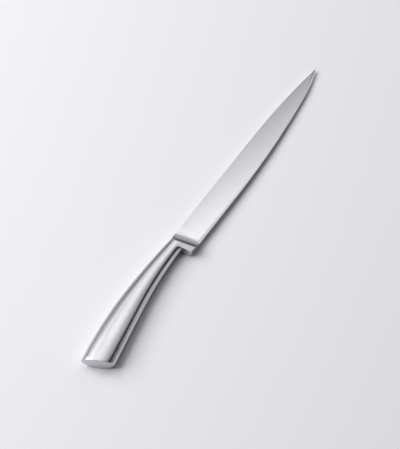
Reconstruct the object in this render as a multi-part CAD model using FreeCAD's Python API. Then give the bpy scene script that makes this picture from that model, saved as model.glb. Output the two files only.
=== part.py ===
import FreeCAD, Part
import math
import os

# Carving knife, all steel, with a welded hollow handle. Millimetres.
# Modelled from the heel: +X to the tip, +Y to the spine, Z across the blade, the mid-plane at Z = 0.
# Setbacks are measured from the heel towards the butt.

# Blade
blade_length = 200.0
blade_height = 21.5
tip_drop = 5.8
spine_straight_length = 110.0
edge_straight_length = 55.0
edge_tip_length = 30.0
edge_sweep_rise = 8.0
spine_thickness = 2.5
edge_thickness = 0.76
tip_thickness = 1.0
bevel_angle = 16.0
edge_land = 0.1

# Bolster, chin and neck of the forging
cove_radius = 5.8
cove_setback_at_edge = 0.1
cove_setback_at_spine = 5.2
chin_thickness = 7.0
chin_setback = 11.0
chin_rise = 0.4
chin_corner_radius = 1.4
chin_lean = 1.7
chin_root_radius = 3.0
chin_face_drop = 0.15
neck_length = 4.3
register_length = 6.0

# Tang inside the handle
tang_length = 45.0
tang_height = 7.0
tang_thickness = 3.0

# Handle outline in the mid-plane, its heights taken from the spine
back_crown_setback = 66.0
back_crown_rise = 2.7
back_front_radius = 650.0
back_rear_radius = 360.0
belly_neck_setback = 8.0
belly_neck_drop = 12.5
belly_bend_setback = 75.0
belly_bend_radius = 350.0

# Handle section, at the neck joint and at the butt
neck_half_thickness = 5.8
butt_half_thickness = 7.5
neck_crease_depth = 2.0
butt_crease_depth = 4.1
neck_crease_drop = 1.0
butt_crease_drop = 1.5
neck_crease_rounding = 1.2
butt_crease_rounding = 0.8
inside_crease_rounding = 0.4
crown_share = 0.45
keel_share = 0.3
wall = 1.2

# Butt end
butt_setback_at_back = 139.4
butt_slant = 12.4
butt_bulge = 1.1
butt_corner_radius = 4.5
butt_corner_turn = 55.0
butt_edge_radius = 0.3
cap_thickness = 2.4
cap_register_length = 3.0

# Inside the handle
weight_length = 22.0
fit_gap = 0.15

# Modelling: poles of a quarter ellipse, spans of a loft and its run past the butt, size of the cutting solids
quarter_ellipse = 0.5523
loft_spans = 8
loft_overrun = 15.0
reach = 60.0
touching = 0.01

# Places that follow from these
tip_height = blade_height - tip_drop
chin_root_setback = chin_setback + chin_lean
neck_joint_setback = chin_root_setback + neck_length
butt_setback_at_belly = butt_setback_at_back - butt_slant


def vec(x, y, z=0.0):
    return FreeCAD.Vector(x, y, z)


def unit(vector):
    return vector * (1.0 / vector.Length)


def line(start, end):
    return Part.LineSegment(start, end).toShape()


def bezier(poles):
    curve = Part.BezierCurve()
    curve.setPoles(poles)
    return curve.toShape()


def polygon(points):
    return [line(a, b) for a, b in zip(points, points[1:] + points[:1])]


def prism(edges, low, high):
    # Solid that stands on a closed outline in the mid-plane
    face = Part.Face(Part.Wire(edges))
    face.translate(vec(0, 0, low))
    return face.extrude(vec(0, 0, high - low))


def slab(front_setback, back_setback):
    # All that lies between two setbacks
    corner = vec(-back_setback, -reach, -reach)
    return Part.makeBox(back_setback - front_setback, 2.0 * reach, 2.0 * reach, corner)


def mirrored(shape):
    return shape.mirror(vec(0, 0, 0), vec(0, 0, 1))


def cut_both_sides(shape, tool):
    return shape.cut(tool).cut(mirrored(tool))


# Arcs in the mid-plane


def turned(vector, angle):
    across = vec(-vector.y, vector.x)
    return vector * math.cos(angle) + across * math.sin(angle)


def arc_about(centre, arm, first, last):
    # Arc drawn by the end of an arm that turns about a centre
    ends = [centre + turned(arm, angle) for angle in (first, (first + last) / 2.0, last)]
    return Part.Arc(*ends).toShape()


def tangent_arc(start, heading, end):
    # Arc that leaves start along heading and arrives at end
    chord = end - start
    side = vec(-heading.y, heading.x)
    centre = start + side * (chord.dot(chord) / (2.0 * chord.dot(side)))
    outward = unit((start + end) * 0.5 - centre)
    return Part.Arc(start, centre + outward * (start - centre).Length, end).toShape()


def heading_at_end(start, heading, end):
    chord = unit(end - start)
    return chord * (2.0 * chord.dot(heading)) - heading


def corner_arc(before, corner, after, radius):
    # Ends and middle of the arc that rounds a corner
    arm_in = unit(before - corner)
    arm_out = unit(after - corner)
    half_angle = math.acos(arm_in.dot(arm_out)) / 2.0
    setback = radius / math.tan(half_angle)
    depth = radius / math.sin(half_angle) - radius
    return corner + arm_in * setback, corner + unit(arm_in + arm_out) * depth, corner + arm_out * setback


# Blade


def blade_half_thickness(x, y):
    # Flat side of the blade, thinning from spine to edge and from heel to tip
    per_y = (spine_thickness - edge_thickness) / (2.0 * blade_height)
    per_x = ((tip_thickness - edge_thickness) / 2.0 - per_y * tip_height) / blade_length
    return edge_thickness / 2.0 + per_y * y + per_x * x


def on_blade_side(x, y):
    return vec(x, y, blade_half_thickness(x, y))


def edge_curves(inward=0.0, height=0.0):
    # The cutting edge from heel to tip, moved into the blade and raised
    ahead = vec(1, 0)
    bend = vec(edge_straight_length, 0)
    sweep = vec(blade_length - edge_tip_length, edge_sweep_rise)
    tip = vec(blade_length, tip_height)
    sweep_heading = heading_at_end(bend, ahead, sweep)
    tip_heading = heading_at_end(sweep, sweep_heading, tip)
    points = []
    for point, heading in ((vec(0, 0), ahead), (bend, ahead), (sweep, sweep_heading), (tip, tip_heading)):
        points.append(point + vec(-heading.y, heading.x) * inward + vec(0, 0, height))
    heel, bend, sweep, tip = points
    return [line(heel, bend), tangent_arc(bend, ahead, sweep), tangent_arc(sweep, sweep_heading, tip)]


def blade_outline():
    rear = vec(-cove_setback_at_spine - cove_radius, blade_height)
    drop = vec(spine_straight_length, blade_height)
    tip = vec(blade_length, tip_height)
    heel = vec(0, 0)
    low = vec(-cove_setback_at_edge, 0)
    edge = edge_curves()
    spine = [line(rear, drop), tangent_arc(drop, vec(1, 0), tip)]
    return spine + edge[::-1] + [line(heel, low), line(low, rear)]


def above_blade_side():
    ends = (-reach, blade_length + reach)
    corners = [(ends[0], -reach), (ends[1], -reach), (ends[1], reach), (ends[0], reach)]
    face = Part.Face(Part.Wire(polygon([on_blade_side(x, y) for x, y in corners])))
    return face.extrude(vec(0, 0, reach))


def above_bevels():
    # Solids above the ground bevel, one for each stretch of the edge
    slope = math.tan(math.radians(bevel_angle))
    outward = edge_land / slope
    inward = spine_thickness / slope
    low = edge_curves(-outward, edge_land / 2.0 - outward * slope)
    high = edge_curves(inward, edge_land / 2.0 + inward * slope)
    return [Part.makeRuledSurface(a, b).extrude(vec(0, 0, reach)) for a, b in zip(low, high)]


def make_blade_blank():
    blank = prism(blade_outline(), -spine_thickness, spine_thickness)
    for tool in [above_blade_side()] + above_bevels():
        blank = cut_both_sides(blank, tool)
    return blank


# Handle body, from which the shells, the neck and everything inside take their shape


def handle_back(x):
    run = x + back_crown_setback
    radius = back_front_radius if run > 0 else back_rear_radius
    return blade_height + back_crown_rise - run * run / (2.0 * radius)


def handle_belly(x):
    bend = belly_bend_setback - belly_neck_setback
    run = max(-belly_neck_setback - x, 0.0)
    bent = min(run, bend)
    return blade_height - belly_neck_drop - bent * (run - bent / 2.0) / belly_bend_radius


def between_ends(x, at_neck, at_butt):
    share = (-x - neck_joint_setback) / (butt_setback_at_belly - neck_joint_setback)
    return at_neck + (at_butt - at_neck) * share


def crease_point(x, inset=0.0):
    # Line along the handle where the side breaks into the belly
    half = between_ends(x, neck_half_thickness, butt_half_thickness)
    height = handle_belly(x) + between_ends(x, neck_crease_depth, butt_crease_depth)
    drop = between_ends(x, neck_crease_drop, butt_crease_drop)
    return vec(x, height + inset / 2.0, half - drop - inset)


def section_curves(x, inset):
    # Poles of the upper half of a section, from the nose at the back round to the keel under the belly
    back = handle_back(x) - inset
    belly = handle_belly(x) + inset
    half = between_ends(x, neck_half_thickness, butt_half_thickness) - inset
    crown = handle_back(x) - crown_share * (handle_back(x) - handle_belly(x))
    rounding = inside_crease_rounding
    if inset == 0.0:
        rounding = between_ends(x, neck_crease_rounding, butt_crease_rounding)
    crease = crease_point(x, inset)
    shoulder = vec(x, (crown + crease.y) / 2.0, half)
    keel = vec(x, belly)
    flank = vec(x, belly, crease.z * keel_share)
    nose = [
        vec(x, back),
        vec(x, back, half * quarter_ellipse),
        vec(x, crown + (back - crown) * quarter_ellipse, half),
        vec(x, crown, half),
    ]
    above = crease + unit(shoulder - crease) * rounding
    below = crease + unit(flank - crease) * rounding
    return [nose, [nose[-1], shoulder, above], [above, crease, below], [below, flank, keel]]


def handle_section(x, inset):
    upper = section_curves(x, inset)
    lower = [[vec(p.x, p.y, -p.z) for p in reversed(poles)] for poles in reversed(upper)]
    return Part.Wire([bezier(poles) for poles in upper + lower])


def handle_body(inset=0.0):
    # Runs on past both ends, to be trimmed
    front = -cove_setback_at_edge
    rear = -butt_setback_at_back - loft_overrun
    stations = [front + (rear - front) * span / loft_spans for span in range(loft_spans + 1)]
    return Part.makeLoft([handle_section(x, inset) for x in stations], True, False)


# Butt end


def butt_bow():
    # Way out of the bowed end face, and the centre, radius and half angle of its bow
    back = vec(-butt_setback_at_back, handle_back(-butt_setback_at_back))
    belly = vec(-butt_setback_at_belly, handle_belly(-butt_setback_at_belly))
    chord = belly - back
    outward = turned(unit(chord), -math.pi / 2.0)
    half_chord = chord.Length / 2.0
    radius = (half_chord * half_chord + butt_bulge * butt_bulge) / (2.0 * butt_bulge)
    centre = (back + belly) * 0.5 + outward * (butt_bulge - radius)
    return outward, centre, radius, math.asin(half_chord / radius)


def butt_curves(rounded):
    # End face from back to belly, with or without its round belly corner, and how far it has turned there
    outward, centre, radius, spread = butt_bow()
    if not rounded:
        return [arc_about(centre, outward * radius, -spread, spread)], spread
    turn = math.radians(butt_corner_turn)
    last = spread - butt_corner_radius * math.tan(turn / 2.0) / radius
    hub = centre + turned(outward, last) * (radius - butt_corner_radius)
    bow = arc_about(centre, outward * radius, -spread, last)
    corner = arc_about(hub, outward * butt_corner_radius, last, last + turn)
    return [bow, corner], last + turn


def past_butt(inward, rounded=False):
    # All that lies past the end face, moved into the handle
    outward, _, _, spread = butt_bow()
    along = turned(outward, math.pi / 2.0)
    curves, last = butt_curves(rounded)
    back = curves[0].firstVertex().Point
    belly = curves[-1].lastVertex().Point
    start = back - turned(along, -spread) * reach
    end = belly + turned(along, last) * reach
    beyond = [end + along * reach, end + (along + outward * 2.0) * reach, start + outward * reach]
    corners = [belly, end] + beyond + [start, back]
    tool = prism(curves + [line(a, b) for a, b in zip(corners, corners[1:])], -reach, reach)
    tool.translate(vec(inward / -outward.x, 0))
    return tool


def make_handle_skin():
    # Outside of the whole handle, with its butt edges eased
    end = past_butt(0.0, rounded=True)
    skin = handle_body().cut(end)
    rim = []
    for edge in skin.Edges:
        middle = edge.valueAt(sum(edge.ParameterRange) / 2.0)
        if end.distToShape(Part.Vertex(middle))[0] < touching:
            rim.append(edge)
    return skin.makeFillet(butt_edge_radius, rim)


# Forging


def chin_outline(top):
    low = vec(-cove_setback_at_edge, 0)
    corner = vec(-chin_setback, chin_rise)
    root = vec(-chin_root_setback, top)
    rear = vec(-neck_joint_setback, top)
    high = vec(-neck_joint_setback, blade_height)
    front = vec(-cove_setback_at_spine, blade_height)
    heel_side = corner_arc(low, corner, root, chin_corner_radius)
    root_side = corner_arc(corner, root, rear, chin_root_radius)
    return [
        line(low, heel_side[0]),
        Part.Arc(*heel_side).toShape(),
        line(heel_side[2], root_side[0]),
        Part.Arc(*root_side).toShape(),
        line(root_side[2], rear),
        line(rear, high),
        line(high, front),
        line(front, low),
    ]


def make_chin():
    # Wedge from the handle's crease down to the chin behind the heel
    crease = crease_point(-chin_root_setback)
    top = crease.y
    top_half = crease.z - chin_face_drop
    low_half = chin_thickness / 2.0
    x = -neck_joint_setback
    corners = [vec(x, 0, low_half), vec(x, top, top_half), vec(x, top, -top_half), vec(x, 0, -low_half)]
    wedge = Part.Face(Part.Wire(polygon(corners))).extrude(vec(neck_joint_setback, 0))
    return prism(chin_outline(top), -reach, reach).common(wedge)


def cove_line(y):
    share = y / blade_height
    setback = cove_setback_at_edge + (cove_setback_at_spine - cove_setback_at_edge) * share
    return on_blade_side(-setback, y)


def ahead_of_cove():
    low = cove_line(-reach)
    high = cove_line(reach)
    ahead = low.x + 2.0 * reach
    corners = [vec(low.x, low.y), vec(ahead, low.y), vec(ahead, high.y), vec(high.x, high.y)]
    return prism(polygon(corners), -reach, reach)


def cove_roller():
    # Cylinder that lies on the blade's flat and hollows the front of the bolster
    low = cove_line(-reach)
    high = cove_line(reach)
    flat = (on_blade_side(1, 0) - on_blade_side(0, 0)).cross(on_blade_side(0, 1) - on_blade_side(0, 0))
    axis = high - low
    return Part.makeCylinder(cove_radius, axis.Length, low + unit(flat) * cove_radius, axis)


def make_tang(grow=0.0):
    middle = (handle_back(-neck_joint_setback) + handle_belly(-neck_joint_setback)) / 2.0
    half = tang_height / 2.0 + grow
    front = -neck_joint_setback
    rear = front - tang_length + tang_height / 2.0
    bottom = [vec(front, middle - half), vec(rear, middle - half)]
    top = [vec(rear, middle + half), vec(front, middle + half)]
    end = Part.Arc(bottom[1], vec(rear - half, middle), top[0]).toShape()
    edges = [line(bottom[0], bottom[1]), end, line(top[0], top[1]), line(top[1], bottom[0])]
    return prism(edges, -tang_thickness / 2.0 - grow, tang_thickness / 2.0 + grow)


def make_blade(skin, core):
    neck = skin.common(slab(0.0, neck_joint_setback))
    bolster = neck.fuse(make_chin()).cut(ahead_of_cove())
    bolster = cut_both_sides(bolster, cove_roller())
    register = core.common(slab(neck_joint_setback, neck_joint_setback + register_length))
    return make_blade_blank().fuse([bolster, register, make_tang()])


# Handle pieces


def make_shells(skin):
    tube = skin.cut(handle_body(wall)).cut(past_butt(cap_thickness))
    tube = tube.cut(slab(0.0, neck_joint_setback))
    length = butt_setback_at_back + reach
    above = Part.makeBox(length, 2.0 * reach, reach, vec(-length, -reach, 0))
    return tube.common(above), tube.cut(above)


def make_butt_cap(skin, core):
    plate = skin.common(past_butt(cap_thickness))
    register = core.common(past_butt(cap_thickness + cap_register_length)).cut(past_butt(cap_thickness))
    return plate.fuse(register)


def make_weight(core):
    rear = cap_thickness + cap_register_length + fit_gap
    return core.common(past_butt(rear + weight_length)).cut(past_butt(rear))


def make_filler(core):
    rear = cap_thickness + cap_register_length + fit_gap + weight_length + fit_gap
    front = neck_joint_setback + register_length + fit_gap
    return core.cut(past_butt(rear)).cut(slab(-reach, front)).cut(make_tang(fit_gap))


def make_parts():
    skin = make_handle_skin()
    core = handle_body(wall + fit_gap)
    shell_right, shell_left = make_shells(skin)
    return {
        "blade": make_blade(skin, core),
        "handle_shell_right": shell_right,
        "handle_shell_left": shell_left,
        "butt_cap": make_butt_cap(skin, core),
        "balance_weight": make_weight(core),
        "handle_filler": make_filler(core),
    }


def main():
    parts = make_parts()
    box = FreeCAD.BoundBox()
    for shape in parts.values():
        box.add(shape.optimalBoundingBox())
    seat = vec(-box.Center.x, -box.Center.y, -box.ZMin)
    os.makedirs("parts", exist_ok=True)
    for name, shape in parts.items():
        shape.translate(seat)
        solids = shape.Solids
        print(name, len(solids), "solid", shape.isValid(), "volume", round(shape.Volume, 1))
        piece = solids[0] if len(solids) == 1 else shape
        piece.exportStep("parts/" + name + ".step")
    print("heel at", [round(value, 3) for value in seat], "overall", box)


main()
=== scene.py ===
import math

import bmesh
import bpy
from mathutils import Matrix, Vector
from mathutils.geometry import interpolate_bezier


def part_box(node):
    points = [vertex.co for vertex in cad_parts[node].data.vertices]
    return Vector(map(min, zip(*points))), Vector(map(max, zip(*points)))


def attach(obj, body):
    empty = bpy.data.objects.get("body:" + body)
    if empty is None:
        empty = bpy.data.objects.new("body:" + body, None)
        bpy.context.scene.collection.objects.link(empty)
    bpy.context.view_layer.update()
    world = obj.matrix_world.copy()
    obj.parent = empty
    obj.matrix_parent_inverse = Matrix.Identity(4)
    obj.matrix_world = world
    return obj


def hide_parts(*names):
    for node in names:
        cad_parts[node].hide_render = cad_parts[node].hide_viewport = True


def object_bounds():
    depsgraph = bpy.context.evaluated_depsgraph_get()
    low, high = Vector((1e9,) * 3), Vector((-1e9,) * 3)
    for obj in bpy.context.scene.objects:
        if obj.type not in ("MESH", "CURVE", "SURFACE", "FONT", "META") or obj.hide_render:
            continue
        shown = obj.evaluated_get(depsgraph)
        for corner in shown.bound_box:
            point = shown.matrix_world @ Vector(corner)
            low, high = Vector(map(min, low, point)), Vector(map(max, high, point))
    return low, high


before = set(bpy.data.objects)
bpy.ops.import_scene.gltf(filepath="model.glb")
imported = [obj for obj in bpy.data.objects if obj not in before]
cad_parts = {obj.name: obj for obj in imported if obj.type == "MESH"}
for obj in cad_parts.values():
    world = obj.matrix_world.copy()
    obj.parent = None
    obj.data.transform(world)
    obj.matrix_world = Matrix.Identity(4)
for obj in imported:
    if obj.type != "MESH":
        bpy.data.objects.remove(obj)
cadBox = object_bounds()
mm = 0.001
tiny = 0.001                                 # mm, taken as touching

# the heel of the edge, on the blade's mid-plane; knife sizes below are mm from it,
# +x to the tip, +y to the spine and +z out of the right side
bladeLength = 200.0
bladeLow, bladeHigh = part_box("blade")
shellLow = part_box("handle_shell_right")[0]
heel = Vector((bladeHigh.x - bladeLength * mm, bladeLow.y, shellLow.z))
print("frame loaded, heel at", [round(c, 5) for c in heel])


def onKnife(point):
    return heel + Vector(point) * mm


sortWay = Vector((1.0, 0.0137, 0.00071))     # askew, so that no two corners or faces stand level along it


def addPiece(name, bm, material, node, sharpAngle=35.0):
    for vert in bm.verts:                    # round forms stand a hair proud of the faceted CAD box
        vert.co = [min(max(c, low), high) for c, low, high in zip(vert.co, *cadBox)]
    # solidify and extrude leave their new faces in another order each run
    bm.verts.sort(key=lambda vert: vert.co.dot(sortWay))
    bm.faces.sort(key=lambda face: face.calc_center_median().dot(sortWay))
    bmesh.ops.recalc_face_normals(bm, faces=bm.faces[:])
    mesh = bpy.data.meshes.new(name)
    bm.to_mesh(mesh)
    bm.free()
    mesh.shade_smooth()
    mesh.set_sharp_from_angle(angle=math.radians(sharpAngle))
    piece = bpy.data.objects.new(name, mesh)
    piece.data.materials.append(material)
    bpy.context.scene.collection.objects.link(piece)
    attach(piece, "root")
    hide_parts(node)
    print("piece", name, len(mesh.polygons), "faces")


# fine streaks along one way, soft clouds over them
def makeSteelGrain():
    group = bpy.data.node_groups.new("steelGrain", "ShaderNodeTree")
    for way, kind, names in (
        ("INPUT", "NodeSocketVector", ("Streak Vector", "Cloud Vector")),
        ("INPUT", "NodeSocketFloat", ("Roughness", "Streak", "Cloud")),
        ("OUTPUT", "NodeSocketFloat", ("Roughness", "Tone", "Height")),
    ):
        for name in names:
            group.interface.new_socket(name=name, in_out=way, socket_type=kind)
    nodes, links = group.nodes, group.links
    given = nodes.new("NodeGroupInput")
    result = nodes.new("NodeGroupOutput")

    streak = nodes.new("ShaderNodeTexNoise")
    streak.inputs["Scale"].default_value = 1.0
    streak.inputs["Detail"].default_value = 4.0
    streak.inputs["Roughness"].default_value = 0.65
    links.new(given.outputs["Streak Vector"], streak.inputs["Vector"])
    cloud = nodes.new("ShaderNodeTexNoise")
    cloud.inputs["Scale"].default_value = 1.0
    cloud.inputs["Detail"].default_value = 2.0
    links.new(given.outputs["Cloud Vector"], cloud.inputs["Vector"])

    def around(noise, amount):               # noise centred on zero, times an amount
        centred = nodes.new("ShaderNodeMath")
        centred.operation = "SUBTRACT"
        centred.inputs[1].default_value = 0.5
        links.new(noise.outputs["Fac"], centred.inputs[0])
        scaled = nodes.new("ShaderNodeMath")
        scaled.operation = "MULTIPLY"
        links.new(centred.outputs[0], scaled.inputs[0])
        links.new(given.outputs[amount], scaled.inputs[1])
        return scaled

    streaked = around(streak, "Streak")
    clouded = around(cloud, "Cloud")
    both = nodes.new("ShaderNodeMath")
    links.new(streaked.outputs[0], both.inputs[0])
    links.new(clouded.outputs[0], both.inputs[1])
    rough = nodes.new("ShaderNodeMath")
    links.new(given.outputs["Roughness"], rough.inputs[0])
    links.new(both.outputs[0], rough.inputs[1])
    tone = nodes.new("ShaderNodeMath")
    tone.operation = "SUBTRACT"
    tone.inputs[0].default_value = 1.0
    links.new(both.outputs[0], tone.inputs[1])
    links.new(rough.outputs[0], result.inputs["Roughness"])
    links.new(tone.outputs[0], result.inputs["Tone"])
    links.new(streak.outputs["Fac"], result.inputs["Height"])
    return group


steelGrain = makeSteelGrain()
bumpDepth = 0.02 * mm


def makeGrained(name, colour, roughness, streakScale, cloudScale, streak, cloud, bump, metallic=1.0):
    material = bpy.data.materials.new(name)
    material.use_nodes = True
    nodes, links = material.node_tree.nodes, material.node_tree.links
    shader = nodes["Principled BSDF"]
    shader.inputs["Metallic"].default_value = metallic
    where = nodes.new("ShaderNodeTexCoord")
    along = nodes.new("ShaderNodeMapping")
    along.inputs["Scale"].default_value = streakScale
    links.new(where.outputs["Object"], along.inputs["Vector"])
    wide = nodes.new("ShaderNodeMapping")
    wide.inputs["Scale"].default_value = cloudScale
    links.new(where.outputs["Object"], wide.inputs["Vector"])
    grain = nodes.new("ShaderNodeGroup")
    grain.node_tree = steelGrain
    grain.inputs["Roughness"].default_value = roughness
    grain.inputs["Streak"].default_value = streak
    grain.inputs["Cloud"].default_value = cloud
    links.new(along.outputs["Vector"], grain.inputs["Streak Vector"])
    links.new(wide.outputs["Vector"], grain.inputs["Cloud Vector"])
    tint = nodes.new("ShaderNodeMix")
    tint.data_type = "RGBA"
    tint.blend_type = "MULTIPLY"
    tint.inputs["Factor"].default_value = 1.0
    tint.inputs["A"].default_value = (*colour, 1.0)
    links.new(grain.outputs["Tone"], tint.inputs["B"])
    links.new(tint.outputs["Result"], shader.inputs["Base Color"])
    links.new(grain.outputs["Roughness"], shader.inputs["Roughness"])
    lift = nodes.new("ShaderNodeBump")
    lift.inputs["Strength"].default_value = bump
    lift.inputs["Distance"].default_value = bumpDepth
    links.new(grain.outputs["Height"], lift.inputs["Height"])
    links.new(lift.outputs["Normal"], shader.inputs["Normal"])
    return material


bladeSteel = makeGrained("bladeSteel", colour=(0.55, 0.545, 0.571), roughness=0.30,
                         streakScale=(800.0, 60.0, 900.0), cloudScale=(40.0, 60.0, 60.0),
                         streak=0.12, cloud=0.03, bump=0.05)
handleSteel = makeGrained("handleSteel", colour=(0.62, 0.614, 0.643), roughness=0.30,
                          streakScale=(90.0, 2600.0, 2600.0), cloudScale=(35.0, 70.0, 70.0),
                          streak=0.08, cloud=0.04, bump=0.05)
weightIron = makeGrained("weightIron", colour=(0.22, 0.22, 0.23), roughness=0.6,
                         streakScale=(500.0, 500.0, 500.0), cloudScale=(90.0, 90.0, 90.0),
                         streak=0.3, cloud=0.2, bump=0.6)
fillerCement = makeGrained("fillerCement", colour=(0.55, 0.53, 0.50), roughness=0.8,
                           streakScale=(700.0, 700.0, 700.0), cloudScale=(120.0, 120.0, 120.0),
                           streak=0.2, cloud=0.2, bump=0.8, metallic=0.0)
print("materials made")


# handle: hollow steel, crease along its side, slanted bowed butt
handle = {
    "backCrown": (-66.0, 24.2),              # where the back stands highest
    "backRadius": (650.0, 360.0),            # ahead of that, behind it
    "bellyNeck": (-8.0, 9.0),
    "bellyBend": -75.0,                      # straight behind this
    "bellyRadius": 350.0,
    "ends": (-17.0, -127.0),                 # pairs below are at the neck joint and at the butt
    "halfThickness": (5.8, 7.5),
    "creaseDepth": (2.0, 4.1),
    "creaseDrop": (1.0, 1.5),
    "creaseRounding": (1.2, 0.8),
    "crownShare": 0.45,
    "keelShare": 0.3,
    "wall": 1.2,
    "around": (44, 22, 14, 24),              # faces round nose, shoulder, crease and flank
    "along": 140,
}
butt = {
    "back": -139.4, "belly": -127.0,         # where the slanted end meets them
    "bulge": 1.1,
    "cornerRadius": 4.5, "cornerTurn": 55.0,
    "rim": 0.3,
    "capThickness": 2.4,
    "faceRings": (0.9, 0.78, 0.62, 0.44, 0.24),  # shares of the rim
    "reach": (-100.0, -150.0),               # the end face lies between these
}


def betweenEnds(x, pair):
    neck, rear = handle["ends"]
    return pair[0] + (pair[1] - pair[0]) * (x - neck) / (rear - neck)


def handleBack(x):
    crownX, crownY = handle["backCrown"]
    radius = handle["backRadius"][0 if x > crownX else 1]
    return crownY - (x - crownX) ** 2 / (2.0 * radius)


def handleBelly(x):
    neckX, neckY = handle["bellyNeck"]
    run = max(neckX - x, 0.0)
    bent = min(run, neckX - handle["bellyBend"])
    return neckY - bent * (run - bent / 2.0) / handle["bellyRadius"]


circleShare = 0.5523                         # handle of a cubic that stands for a quarter circle


def softCorner(a, b, c):                     # a corner b rounded between a and c, as a cubic
    return a, a.lerp(b, 2.0 / 3.0), c.lerp(b, 2.0 / 3.0), c


def creaseAt(x):
    half = betweenEnds(x, handle["halfThickness"])
    height = handleBelly(x) + betweenEnds(x, handle["creaseDepth"])
    return Vector((x, height, half - betweenEnds(x, handle["creaseDrop"])))


def sectionArcs(x):                          # nose, shoulder, crease and flank, from the back to the keel
    back, belly = handleBack(x), handleBelly(x)
    half = betweenEnds(x, handle["halfThickness"])
    crownY = back - handle["crownShare"] * (back - belly)
    crown, crease = Vector((x, crownY, half)), creaseAt(x)
    shoulder = Vector((x, (crownY + crease.y) / 2.0, half))
    flank = Vector((x, belly, crease.z * handle["keelShare"]))
    keel = Vector((x, belly, 0.0))
    rounding = betweenEnds(x, handle["creaseRounding"])
    above = crease + (shoulder - crease).normalized() * rounding
    below = crease + (flank - crease).normalized() * rounding
    nose = (
        Vector((x, back, 0.0)),
        Vector((x, back, half * circleShare)),
        Vector((x, crownY + (back - crownY) * circleShare, half)),
        crown,
    )
    return (nose, softCorner(crown, shoulder, above),
            softCorner(above, crease, below), softCorner(below, flank, keel))


lineCount = sum(handle["around"]) + 1


def sectionPoint(x, line):                   # where one of the lengthwise lines passes station x
    for arc, faces in zip(sectionArcs(x), handle["around"]):
        if line <= faces:
            return interpolate_bezier(*arc, faces + 1)[line]
        line -= faces


def turned(vector, angle):
    return Matrix.Rotation(angle, 2) @ vector


def buttBow():                               # the bowed end face and its round belly corner
    back = Vector((butt["back"], handleBack(butt["back"])))
    belly = Vector((butt["belly"], handleBelly(butt["belly"])))
    chord = belly - back
    outward = turned(chord.normalized(), -math.pi / 2.0)
    half, bulge = chord.length / 2.0, butt["bulge"]
    radius = (half * half + bulge * bulge) / (2.0 * bulge)
    centre = (back + belly) / 2.0 + outward * (bulge - radius)
    turn = math.radians(butt["cornerTurn"])
    last = math.asin(half / radius) - butt["cornerRadius"] * math.tan(turn / 2.0) / radius
    hub = centre + turned(outward, last) * (radius - butt["cornerRadius"])
    return {"centre": centre, "radius": radius, "hub": hub, "turn": turn, "outward": outward,
            "lastWay": turned(outward, last), "endWay": turned(outward, last + turn)}


bow = buttBow()


def pastButt(point):
    flat = point.to_2d()
    fromHub = flat - bow["hub"]
    onwards = turned(bow["lastWay"], math.pi / 2.0)
    ahead = fromHub.dot(onwards)
    if ahead <= 0.0:
        return (flat - bow["centre"]).length > bow["radius"]
    if math.atan2(ahead, fromHub.dot(bow["lastWay"])) < bow["turn"]:
        return fromHub.length > butt["cornerRadius"]
    return fromHub.dot(bow["endWay"]) > butt["cornerRadius"]


halvings = 40


def lastWhere(holds, inside, outside):       # closes in on the place where a test stops holding
    for _ in range(halvings):
        middle = (inside + outside) / 2.0
        if holds(middle):
            inside = middle
        else:
            outside = middle
    return inside


def lineEnd(line):                           # x where a lengthwise line meets the end face
    return lastWhere(lambda x: not pastButt(sectionPoint(x, line)), *butt["reach"])


def onEndFace(y):                            # x of the end face at a height
    hub, corner = bow["hub"], butt["cornerRadius"]
    start = hub.y + bow["lastWay"].y * corner
    if y > start:
        return bow["centre"].x - math.sqrt(bow["radius"] ** 2 - (y - bow["centre"].y) ** 2)
    return hub.x - math.sqrt(max(corner ** 2 - (y - hub.y) ** 2, 0.0))


lineEnds = [lineEnd(line) for line in range(lineCount)]
seamStep = butt["capThickness"] / -bow["outward"].x
seams = [x + seamStep for x in lineEnds]
print("butt meets", lineCount, "lines from", round(min(lineEnds), 2), "to", round(max(lineEnds), 2))


def addGrid(bm, rows, lines):                # a sheet of faces, as its corners with their row and line
    bmesh.ops.create_grid(bm, x_segments=rows, y_segments=lines, size=0.5)
    return [(v, round((v.co.x + 0.5) * rows), round((v.co.y + 0.5) * lines)) for v in bm.verts]


def makeShell(side):
    bm = bmesh.new()
    rows, neck = handle["along"], handle["ends"][0]
    for vert, row, line in addGrid(bm, rows, lineCount - 1):
        point = sectionPoint(neck + (seams[line] - neck) * row / rows, line)
        vert.co = onKnife((point.x, point.y, point.z * side))
    bm.normal_update()
    crest = max(bm.faces, key=lambda face: face.calc_center_median().z * side)
    if crest.normal.z * side < 0.0:
        bmesh.ops.reverse_faces(bm, faces=bm.faces[:])
    bmesh.ops.solidify(bm, geom=bm.faces[:], thickness=handle["wall"] * mm)
    return bm


for name, node, side in (("shell_right", "handle_shell_right", 1.0), ("shell_left", "handle_shell_left", -1.0)):
    addPiece(name, makeShell(side), handleSteel, node)


def ringOfLines(points):                     # a closed loop from the back, over the +z side first
    loop = [Vector(p) for p in points]
    loop += [Vector((p.x, p.y, -p.z)) for p in reversed(points[1:-1])]
    return loop


def addRing(bm, loop):
    verts = [bm.verts.new(onKnife(p)) for p in loop]
    return [bm.edges.new((a, b)) for a, b in zip(verts, verts[1:] + verts[:1])]


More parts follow.
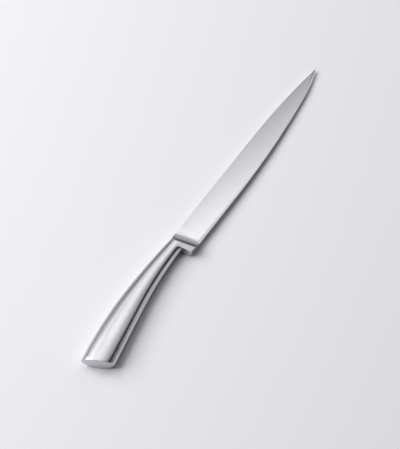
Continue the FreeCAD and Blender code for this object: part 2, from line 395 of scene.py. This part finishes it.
def makeCap():
    bm = bmesh.new()
    rim = [sectionPoint(x, line) for line, x in enumerate(lineEnds)]
    rings = [addRing(bm, ringOfLines([sectionPoint(x, line) for line, x in enumerate(seams)]))]
    rings.append(addRing(bm, ringOfLines(rim)))
    top, low = rim[0].y, rim[-1].y
    middle = (top + low) / 2.0
    for size in butt["faceRings"]:
        points = []
        for p in rim:
            y = middle + (p.y - middle) * size
            points.append(Vector((onEndFace(y), y, p.z * size)))
        rings.append(addRing(bm, ringOfLines(points)))
    for a, b in zip(rings, rings[1:]):
        bmesh.ops.bridge_loops(bm, edges=a + b)
    bmesh.ops.contextual_create(bm, geom=rings[-1])
    bmesh.ops.contextual_create(bm, geom=rings[0])
    bmesh.ops.bevel(bm, geom=rings[1], offset=butt["rim"] * mm, offset_type="OFFSET", segments=4,
                    profile=0.5, affect="EDGES", material=-1, clamp_overlap=True)
    return bm


addPiece("cap", makeCap(), handleSteel, "butt_cap", sharpAngle=50.0)


# forging: blade, coved bolster, chin and the neck that the shells are welded to
forging = {
    "tip": (bladeLength, 15.7),
    "height": 21.5,
    "spineBend": (110.0, 21.5),
    "edgeBends": ((55.0, 0.0), (170.0, 8.0)),
    "thickness": (2.5, 0.76, 1.0),           # spine and edge at the heel, tip
    "bevelAngle": 10.0, "land": 0.1,
    # the edge colour is a painted highlight, paler than the steel; the coarser roughness is the real grind
    "paintedSheenColour": (0.93, 0.92, 0.96), "edgeCoarser": 0.45,
    "paintedSheenShares": (0.24, 0.44),            # shares of the painted highlight colour, on the bolster and low on the flat
    "paintedSheenFade": 8.0,                       # from one to the other, along the blade
    "coveRadii": (24.0, 7.0), "coveEase": 9.0,  # gentle and steep, and the gentle one's turn
    "coveLine": (3.6, -2.1),                 # where the hollow starts, at the edge and at the spine
    "coveClosing": 75.0,                     # how far the cove's rows close up
    "crestReach": (1.0, 11.0),               # the crest lies between these, behind the hollow's start
    "crestEase": 0.25, "crestFoot": 0.1,
    "chinCorner": (-11.0, 0.4), "chinCornerRadius": 1.4,
    "chinRoot": -12.7, "chinRootRadius": 3.0,
    "chinArcs": (24, 10),                    # faces round the root and the corner
    "chinThickness": 7.0, "chinShare": 0.55,
    "chinClear": (3.0, 2.0),                 # its face clears the crease over these, along and down
    "rows": (18, 46, 18),                    # neck, chin and cove
    "stations": ((4.5, 2.0, 3), (10.0, 2.0, 76), (161.5, 1.5, 24)),  # the blade's rows: first, step, count
    "tipStations": (197.2, 198.2, 199.0, 199.6, bladeLength),
    "bevelLines": 4, "bevelMost": 0.45,      # lines on the bevel, and the most of a row that they take
    "shear": 40.0,                           # rows stand upright again this far along the blade
}
sideLines = handle["around"][0] + handle["around"][1]


def onArc(start, slope, end, x):             # height at x of the arc that leaves start at a slope and meets end
    start, chord = Vector(start), Vector(end) - Vector(start)
    side = Vector((-math.sin(slope), math.cos(slope)))
    reach = chord.length_squared / (2.0 * chord.dot(side))
    centre = start + side * reach
    return centre.y - math.copysign(math.sqrt(max(reach * reach - (x - centre.x) ** 2, 0.0)), reach)


def edgeHeight(x):
    bend, sweep = forging["edgeBends"]
    if x < bend[0]:
        return 0.0
    if x < sweep[0]:
        return onArc(bend, 0.0, sweep, x)
    rise = math.atan2(sweep[1] - bend[1], sweep[0] - bend[0])
    return onArc(sweep, 2.0 * rise, forging["tip"], x)


def topHeight(x):
    bend = forging["spineBend"]
    if x > bend[0]:
        return onArc(bend, 0.0, forging["tip"], x)
    return max(bend[1], handleBack(x)) if x < 0.0 else bend[1]


def flatHalf(x, y):                          # the blade's ground flat, thinning to edge and tip
    spine, edge, tip = forging["thickness"]
    perY = (spine - edge) / (2.0 * forging["height"])
    perX = ((tip - edge) / 2.0 - perY * forging["tip"][1]) / forging["tip"][0]
    return edge / 2.0 + perY * y + perX * x


bevelSlope = math.tan(math.radians(forging["bevelAngle"]))


def bevelWidth(x):
    return (flatHalf(x, edgeHeight(x)) - forging["land"] / 2.0) / bevelSlope


def bevelHalf(x, y):
    if x < 0.0:
        return flatHalf(x, y)
    return forging["land"] / 2.0 + (y - edgeHeight(x)) * bevelSlope


def plateHalf(x, y):
    return min(flatHalf(x, y), bevelHalf(x, y)) if y < forging["height"] + tiny else 0.0


coveLow, coveHigh = forging["coveLine"]
coveLean = (coveLow - coveHigh) / forging["height"]
coveTilt = math.hypot(1.0, coveLean)


def coveX(y, behind=0.0):
    return coveLow - coveLean * y - behind * coveTilt


def behindCove(x, y):
    return (coveX(y) - x) / coveTilt


def coveHalf(x, y):                          # the flat curves up gently, then the hollow turns steep
    gentle, steep = forging["coveRadii"]
    turn = math.radians(forging["coveEase"])
    behind = behindCove(x, y)
    first = gentle * math.sin(turn)
    if behind < first:
        return flatHalf(x, y) + gentle - math.sqrt(gentle * gentle - behind * behind)
    across = (behind - first) / steep + math.sin(turn)
    rise = gentle * (1.0 - math.cos(turn))
    if across >= 1.0:
        return flatHalf(x, y) + 2.0 * steep
    return flatHalf(x, y) + rise + steep * (math.cos(turn) - math.sqrt(1.0 - across * across))


def neckHalf(x, y):                          # half thickness of the handle's section at a height
    points = []
    for arc, faces in zip(sectionArcs(x), handle["around"]):
        points += interpolate_bezier(*arc, faces + 1)[min(len(points), 1):]
    for a, b in zip(points, points[1:]):
        if a.y >= y > b.y:
            return a.lerp(b, (a.y - y) / (a.y - b.y)).z
    return 0.0


chinTop = creaseAt(forging["chinRoot"])


def cornerArc(before, corner, after, radius, count):
    a, b = (before - corner).normalized(), (after - corner).normalized()
    half = math.acos(a.dot(b)) / 2.0
    centre = corner + (a + b).normalized() * (radius / math.sin(half))
    reach = radius / math.tan(half)
    first, last = corner + a * reach - centre, corner + b * reach - centre
    return [centre + first.lerp(last, k / count).normalized() * radius for k in range(count + 1)]


chinCorner = Vector(forging["chinCorner"])
chinRoot = Vector((forging["chinRoot"], chinTop.y))
rootFaces, cornerFaces = forging["chinArcs"]
rearArc = cornerArc(chinRoot - Vector((1.0, 0.0)), chinRoot, chinCorner, forging["chinRootRadius"], rootFaces)
shoulderSteps = 40


def chinFace(x):                             # top of the chin's face, on the handle's side
    shoulder = interpolate_bezier(*sectionArcs(x)[1], shoulderSteps + 1)
    return shoulder[round(forging["chinShare"] * shoulderSteps)]


def softMax(a, b):
    near = max(forging["crestEase"] - abs(a - b), 0.0)
    return max(a, b) + near * near / (4.0 * forging["crestEase"])


def clamped(share):
    return min(max(share, 0.0), 1.0)


def bolsterHalf(x, y):                       # the face stands clear of the crease away from its root
    neck, top, low = neckHalf(x, y), chinFace(x), forging["chinThickness"] / 2.0
    if y >= top.y:
        return neck
    along, down = forging["chinClear"]
    clear = clamped(max((x - rearArc[0].x) / along, (chinTop.y - y) / down))
    face = low + (top.z - low) * y / top.y
    return neck + max(face - neck, 0.0) * clear * clear * (3.0 - 2.0 * clear)


def forgingHalf(x, y):                       # the plate, the hollow behind it and the bolster
    behind = behindCove(x, y)
    if behind <= 0.0:
        return plateHalf(x, y)
    hollowed = -softMax(-bolsterHalf(x, y), -coveHalf(x, y))
    if x >= 0.0:
        return min(hollowed, bevelHalf(x, y))
    return hollowed if behind > forging["coveRadii"][1] else max(hollowed, plateHalf(x, y))


def crestX(y):                               # the bolster's crest, where the hollow meets it
    near, far = [coveX(y, behind) for behind in forging["crestReach"]]
    return lastWhere(lambda x: coveHalf(x, y) < bolsterHalf(x, y), near, far)


def rearX(y):                                # the chin's back outline
    if y >= rearArc[0].y:
        return rearArc[0].x
    for a, b in zip(rearArc, rearArc[1:] + [chinCorner]):
        if a.y >= y > b.y:
            return a.lerp(b, (a.y - y) / (a.y - b.y)).x
    return chinCorner.x


settleRounds = 8


def rearPoint(line):                         # where a lengthwise line of the neck runs into the chin
    x = rearArc[0].x
    for _ in range(settleRounds):
        x = rearX(sectionPoint(x, line).y)
    return sectionPoint(x, line)


def crestAtCrease():                         # where the crest crosses the handle's crease, in plan
    x = coveX(chinTop.y)
    for _ in range(settleRounds):
        y = sectionPoint(x, sideLines).y
        x = crestX(y)
    return Vector((x, y))


def sharesOf(points):
    return [(points[0].y - p.y) / (points[0].y - points[-1].y) for p in points]


def lowShares(x, length):                    # from the crease down, the last few lines on the edge bevel
    count, last = lineCount - sideLines - 1, forging["bevelLines"]
    bevel = min(bevelWidth(x) / length, forging["bevelMost"])
    shares = [(1.0 - bevel) * k / (count - last) for k in range(count - last)]
    return shares + [1.0 - bevel + bevel * k / last for k in range(last + 1)]


def planRow(top, crease, low, upper, lower):
    return [top.lerp(crease, s) for s in upper] + [crease.lerp(low, s) for s in lower[1:]]


def alongPath(path, share):
    lengths = [(b - a).length for a, b in zip(path, path[1:])]
    left = share * sum(lengths)
    for a, b, length in zip(path, path[1:], lengths):
        if left <= length:
            return a.lerp(b, left / length)
        left -= length
    return path[-1].copy()


def risen(plan):
    return [Vector((p.x, p.y, forgingHalf(p.x, p.y))) for p in plan]


def forgingRows():
    neckRows, chinRows, coveRows = forging["rows"]
    joint, height = handle["ends"][0], forging["height"]
    ends = [rearPoint(line) for line in range(lineCount)]
    rows = [[sectionPoint(joint + (end.x - joint) * k / neckRows, line) for line, end in enumerate(ends)]
            for k in range(neckRows + 1)]
    rim = [p.to_2d() for p in ends]
    rows.append([Vector((p.x, p.y, max(p.z, bolsterHalf(p.x, p.y)))) for p in ends])

    # the crest in plan, from spine to edge
    upper = sharesOf(rim[:sideLines + 1])
    rimLower = sharesOf(rim[sideLines:])
    crestTop = Vector((crestX(height), height))
    crestLow = Vector((crestX(forging["crestFoot"]), forging["crestFoot"]))
    crestCrease = crestAtCrease()
    crestLower = lowShares(0.0, (crestCrease - crestLow).length)
    crestStraight = planRow(crestTop, crestCrease, crestLow, upper, crestLower)
    crest = [Vector((crestX(p.y), p.y)) for p in crestStraight]
    rimStraight = planRow(rim[0], rim[sideLines], rim[-1], upper, rimLower)

    # chin face: rows swing from the rim behind it to the crest
    heelSide = Vector((coveLow, 0.0))
    corner = cornerArc(chinRoot, chinCorner, heelSide, forging["chinCornerRadius"], cornerFaces)
    path = [rim[-1]] + corner + [crestLow]
    for k in range(1, chinRows + 1):
        r = k / chinRows
        topX = rim[0].x + (crestTop.x - rim[0].x) * r
        creaseX = rim[sideLines].x + (crestCrease.x - rim[sideLines].x) * r
        top, low = Vector((topX, topHeight(topX))), alongPath(path, r)
        crease = Vector((creaseX, sectionPoint(creaseX, sideLines).y))
        lower = [a + (b - a) * r for a, b in zip(rimLower, lowShares(0.0, (crease - low).length))]
        plan = planRow(top, crease, low, upper, lower)
        bend = zip(plan, rim, rimStraight, crest, crestStraight)
        rows.append(risen([p + (a - b) * (1.0 - r) + (c - d) * r for p, a, b, c, d in bend]))

    # cove: rows close up under the crest, where it is steep
    footCrease = Vector((coveX(crestCrease.y), crestCrease.y))
    foot = planRow(Vector((coveHigh, height)), footCrease, heelSide, upper, crestLower)
    steep = math.radians(forging["coveClosing"])
    for k in range(1, coveRows + 1):
        share = 1.0 - math.sin((1.0 - k / coveRows) * steep) / math.sin(steep)
        rows.append(risen([a.lerp(b, share) for a, b in zip(crest, foot)]))

    # blade: rows lean with the cove at the heel and stand upright farther on
    creaseShare = (height - crestCrease.y) / height
    stations = [first + step * k for first, step, count in forging["stations"] for k in range(count)]
    for x in stations + list(forging["tipStations"]):
        upright = clamped(x / forging["shear"])
        topX = x + (coveHigh - coveLow) * (1.0 - upright) ** 2
        top, low = Vector((topX, topHeight(topX))), Vector((x, edgeHeight(x)))
        crease = top.lerp(low, creaseShare)
        lower = lowShares(x, max((crease - low).length, tiny))
        rows.append(risen(planRow(top, crease, low, upper, lower)))
    return rows


def sheenAndGrindShare(point, line):                # share of the painted highlight and the coarser grind: all on the bevel, painted paleness fading to the spine
    bolster, flat = forging["paintedSheenShares"]
    if point.x <= 0.0:
        return bolster
    if line >= lineCount - forging["bevelLines"]:
        return 1.0
    top = topHeight(point.x)
    down = (top - point.y) / max(top - edgeHeight(point.x), tiny)
    return bolster + (flat * clamped(down) - bolster) * min(point.x / forging["paintedSheenFade"], 1.0)


def weld(bm):
    bmesh.ops.remove_doubles(bm, verts=bm.verts[:], dist=tiny * mm)


def vertsIn(geom):
    return [g for g in geom if isinstance(g, bmesh.types.BMVert)]


def makeForging():                           # right half, a wall down to the mid-plane, and its mirror image
    rows = forgingRows()
    bm = bmesh.new()
    sheenLayer = bm.verts.layers.float.new("paintedSheenAndGrind")
    for vert, row, line in addGrid(bm, len(rows) - 1, lineCount - 1):
        vert[sheenLayer] = sheenAndGrindShare(rows[row][line], line)
        vert.co = onKnife(rows[row][line])
    weld(bm)
    joint = onKnife((handle["ends"][0] + tiny, 0.0, 0.0)).x
    rim = [e for e in bm.edges if e.is_boundary and max(v.co.x for v in e.verts) > joint]
    for vert in vertsIn(bmesh.ops.extrude_edge_only(bm, edges=rim)["geom"]):
        vert.co.z = heel.z
    weld(bm)
    for vert in vertsIn(bmesh.ops.duplicate(bm, geom=bm.verts[:] + bm.edges[:] + bm.faces[:])["geom"]):
        vert.co.z = 2.0 * heel.z - vert.co.z
    weld(bm)
    bmesh.ops.contextual_create(bm, geom=[e for e in bm.edges if e.is_boundary])
    return bm


def paintSheenAndGrind(material):                     # the edge bevel is coarser than the satin flat, and painted paler as a highlight; the flat is painted paler toward the edge
    nodes, links = material.node_tree.nodes, material.node_tree.links
    shader = nodes["Principled BSDF"]
    mask = nodes.new("ShaderNodeAttribute")
    mask.attribute_name = "paintedSheenAndGrind"
    # the pale colour mixed in by the mask is a painted highlight
    paintedSheen = nodes.new("ShaderNodeMix")
    paintedSheen.data_type = "RGBA"
    paintedSheen.inputs["B"].default_value = (*forging["paintedSheenColour"], 1.0)
    links.new(mask.outputs["Fac"], paintedSheen.inputs["Factor"])
    links.new(shader.inputs["Base Color"].links[0].from_socket, paintedSheen.inputs["A"])
    links.new(paintedSheen.outputs["Result"], shader.inputs["Base Color"])
    # the same mask makes the bevel rougher, a real grind
    bevel = nodes.new("ShaderNodeMapRange")
    bevel.inputs["From Min"].default_value = forging["paintedSheenShares"][1]
    bevel.inputs["To Max"].default_value = forging["edgeCoarser"]
    links.new(mask.outputs["Fac"], bevel.inputs["Value"])
    coarser = nodes.new("ShaderNodeMath")
    links.new(bevel.outputs["Result"], coarser.inputs[0])
    links.new(shader.inputs["Roughness"].links[0].from_socket, coarser.inputs[1])
    links.new(coarser.outputs[0], shader.inputs["Roughness"])


paintSheenAndGrind(bladeSteel)
addPiece("forging", makeForging(), bladeSteel, "blade", sharpAngle=40.0)

# what the handle hides keeps its CAD shape
for name, material in (("balance_weight", weightIron), ("handle_filler", fillerCement)):
    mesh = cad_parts[name].data
    mesh.materials.clear()
    mesh.materials.append(material)
print("hidden pieces coloured")


# the knife lies on its left side, on butt and neck, so its tip dips a little;
# ground sizes are right, away and up from the picture's middle
view = {
    "heading": 54.9, "lean": 0.885,
    "heelOnGround": (-0.824, -21.26, 5.54),
    "elevation": 63.0, "distance": 1400.0,
    "lens": 134.8, "sensor": 36.0, "clipEnd": 50.0,
}


def groundToKnife():
    heading = Matrix.Rotation(math.radians(view["heading"]), 4, "Z")
    lean = Matrix.Rotation(math.radians(view["lean"]), 4, "Y")
    back = Matrix.Translation(-Vector(view["heelOnGround"]) * mm)
    return Matrix.Translation(heel) @ (heading @ lean).inverted() @ back


ground = groundToKnife()


def addCamera():
    data = bpy.data.cameras.new("camera")
    data.lens = view["lens"]
    data.sensor_width = view["sensor"]
    data.clip_end = view["clipEnd"]
    camera = bpy.data.objects.new("camera", data)
    bpy.context.scene.collection.objects.link(camera)
    up = math.radians(view["elevation"])
    place = Vector((0.0, -math.cos(up), math.sin(up))) * view["distance"] * mm
    camera.matrix_world = ground @ Matrix.Translation(place) @ Matrix.Rotation(math.pi / 2.0 - up, 4, "X")
    bpy.context.scene.camera = camera


addCamera()


floor = {"size": 6.0, "colour": (0.93, 0.92, 0.965), "roughness": 0.75, "specular": 0.2}


def addFloor():
    bm = bmesh.new()
    bmesh.ops.create_grid(bm, x_segments=1, y_segments=1, size=floor["size"] / 2.0, matrix=ground)
    mesh = bpy.data.meshes.new("floor")
    bm.to_mesh(mesh)
    bm.free()
    material = bpy.data.materials.new("paleFloor")
    material.use_nodes = True
    shader = material.node_tree.nodes["Principled BSDF"]
    shader.inputs["Base Color"].default_value = (*floor["colour"], 1.0)
    shader.inputs["Roughness"].default_value = floor["roughness"]
    shader.inputs["Specular IOR Level"].default_value = floor["specular"]
    mesh.materials.append(material)
    piece = bpy.data.objects.new("floor", mesh)
    bpy.context.scene.collection.objects.link(piece)


addFloor()
print("camera and floor placed")


# soft boxes round the knife, in degrees: way from the picture's right and up from the floor,
# and half the spread, across and up
lights = [
    {"name": "keyBox", "way": (170.0, 34.0), "spread": (25.0, 12.0), "radiance": 5.0},
    {"name": "highKeyBox", "way": (170.0, 56.0), "spread": (22.0, 10.0), "radiance": 5.1},
    {"name": "lowBackBox", "way": (130.0, 20.0), "spread": (14.0, 8.0), "radiance": 0.22},
    {"name": "backBox", "way": (114.0, 48.0), "spread": (13.0, 8.0), "radiance": 1.0},
    {"name": "bladeBox", "way": (91.0, 65.0), "spread": (12.0, 3.5), "radiance": 2.9},
    {"name": "upperBackBox", "way": (92.0, 72.0), "spread": (12.0, 4.0), "radiance": 0.5},
    {"name": "rightBackBox", "way": (60.0, 62.0), "spread": (11.0, 9.0), "radiance": 0.35},
    {"name": "rightBox", "way": (30.0, 62.0), "spread": (10.0, 9.0), "radiance": 0.3},
    {"name": "topBox", "way": (110.0, 79.0), "spread": (11.0, 5.0), "radiance": 1.6},
    {"name": "rightTopBox", "way": (10.0, 79.0), "spread": (11.0, 7.0), "radiance": 1.1},
    {"name": "farBox", "way": (74.0, 33.0), "spread": (26.0, 11.0), "radiance": 0.42},
    {"name": "lowRightBox", "way": (60.0, 40.0), "spread": (12.0, 8.0), "radiance": 0.7},
]
lightDistance = 2.5


def addLight(values):
    data = bpy.data.lights.new(values["name"], "AREA")
    data.shape = "RECTANGLE"
    data.size, data.size_y = [2.0 * lightDistance * math.tan(math.radians(a)) for a in values["spread"]]
    data.energy = values["radiance"] * math.pi * data.size * data.size_y
    lamp = bpy.data.objects.new(values["name"], data)
    bpy.context.scene.collection.objects.link(lamp)
    turn, up = [math.radians(a) for a in values["way"]]
    flat = Vector((math.cos(turn), math.sin(turn), 0.0)) * math.cos(up)
    place = (flat + Vector((0.0, 0.0, math.sin(up)))) * lightDistance
    aim = (-place).to_track_quat("-Z", "Y").to_matrix().to_4x4()
    lamp.matrix_world = ground @ Matrix.Translation(place) @ aim


for values in lights:
    addLight(values)
print("lights", len(lights))

worldGlow = 0.01
world = bpy.data.worlds.new("studio")
world.use_nodes = True
world.node_tree.nodes["Background"].inputs["Color"].default_value = (worldGlow, worldGlow, worldGlow, 1.0)
bpy.context.scene.world = world
bpy.context.scene.view_settings.view_transform = "Standard"
